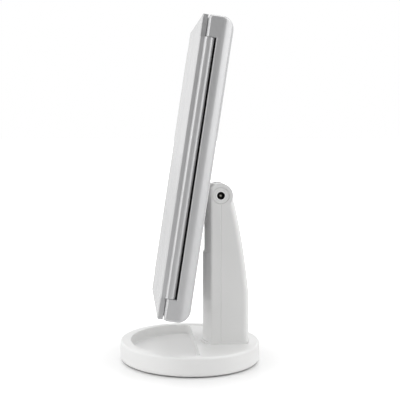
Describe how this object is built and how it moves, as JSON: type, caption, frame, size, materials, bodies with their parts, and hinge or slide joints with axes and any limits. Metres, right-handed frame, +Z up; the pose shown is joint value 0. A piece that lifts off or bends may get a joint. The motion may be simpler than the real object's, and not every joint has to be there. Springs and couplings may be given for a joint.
{
  "type": "tri-fold lighted make-up mirror",
  "caption": "Tabletop make-up mirror with folding side wings, lit centre glass, tilting panel on a forked column and an oval tray base, shown folded shut.",
  "frame": {"origin": "centre of the base on the surface it stands on", "axes": "+Z up, the front of the mirror faces -Y, +X is the side with the power inlet"},
  "size_m": [0.176, 0.118, 0.2836],
  "materials": {
    "white_abs": "glossy moulded ABS",
    "inner_plastic": "plain moulded ABS inside the case",
    "mirror_glass": "silvered glass",
    "opal_window": "opal acrylic",
    "black_plastic": "black moulded plastic",
    "rubber": "matt foot rubber",
    "steel": "plain steel",
    "zinc_screw": "zinc plated",
    "board": "glass-epoxy circuit board",
    "lamp": "lamp package",
    "cell": "cell sleeve",
    "spring_metal": "nickel plated spring strip"
  },
  "bodies": {
    "stand": {"base_tray": "white_abs", "base_bottom_plate": "inner_plastic", "base_weights": "steel", "rubber_feet": "rubber", "base_screws": "zinc_screw", "column_front_shell": "white_abs", "column_rear_shell": "white_abs", "column_screws": "zinc_screw", "foot_screws": "zinc_screw"},
    "panel": {"tilt_neck": "white_abs", "friction_washers": "steel", "dc_jack": "black_plastic", "jack_ring": "white_abs", "pivot_end_cap": "white_abs", "rear_shell": "white_abs", "front_frame": "white_abs", "centre_mirror": "mirror_glass", "light_windows": "opal_window", "led_boards": "board", "leds": "lamp", "touch_button": "white_abs", "control_board": "board", "battery_box": "inner_plastic", "battery_cells": "cell", "battery_contacts": "spring_metal", "hinge_pins": "steel", "panel_screws": "zinc_screw", "neck_screws": "zinc_screw", "frame_magnets": "steel"},
    "door": {"battery_door": "white_abs"},
    "left_leaf": {"left_wing": "white_abs", "left_mirror_upper": "mirror_glass", "left_mirror_lower": "mirror_glass", "left_magnets": "steel"},
    "right_leaf": {"right_wing": "white_abs", "right_mirror": "mirror_glass", "right_magnets": "steel"}
  },
  "joints": [
    {"name": "panel_tilt", "type": "hinge", "parent": "stand", "child": "panel", "pos_m": [0, 0.0248, 0.14], "axis": [-1, 0, 0], "range_deg": [-8.6, 126.4]},
    {"name": "left_wing_hinge", "type": "hinge", "parent": "panel", "child": "left_leaf", "pos_m": [-0.0843, -0.00619, 0.16468], "axis": [0, -0.1501, -0.9887], "range_deg": [0, 180]},
    {"name": "right_wing_hinge", "type": "hinge", "parent": "panel", "child": "right_leaf", "pos_m": [0.0843, -0.00619, 0.16468], "axis": [0, 0.1501, 0.9887], "range_deg": [0, 180]},
    {"name": "battery_door_lift", "type": "slide", "parent": "panel", "child": "door", "axis": [0, 0.9887, -0.1501], "range_m": [0, 0.012]}
  ]
}
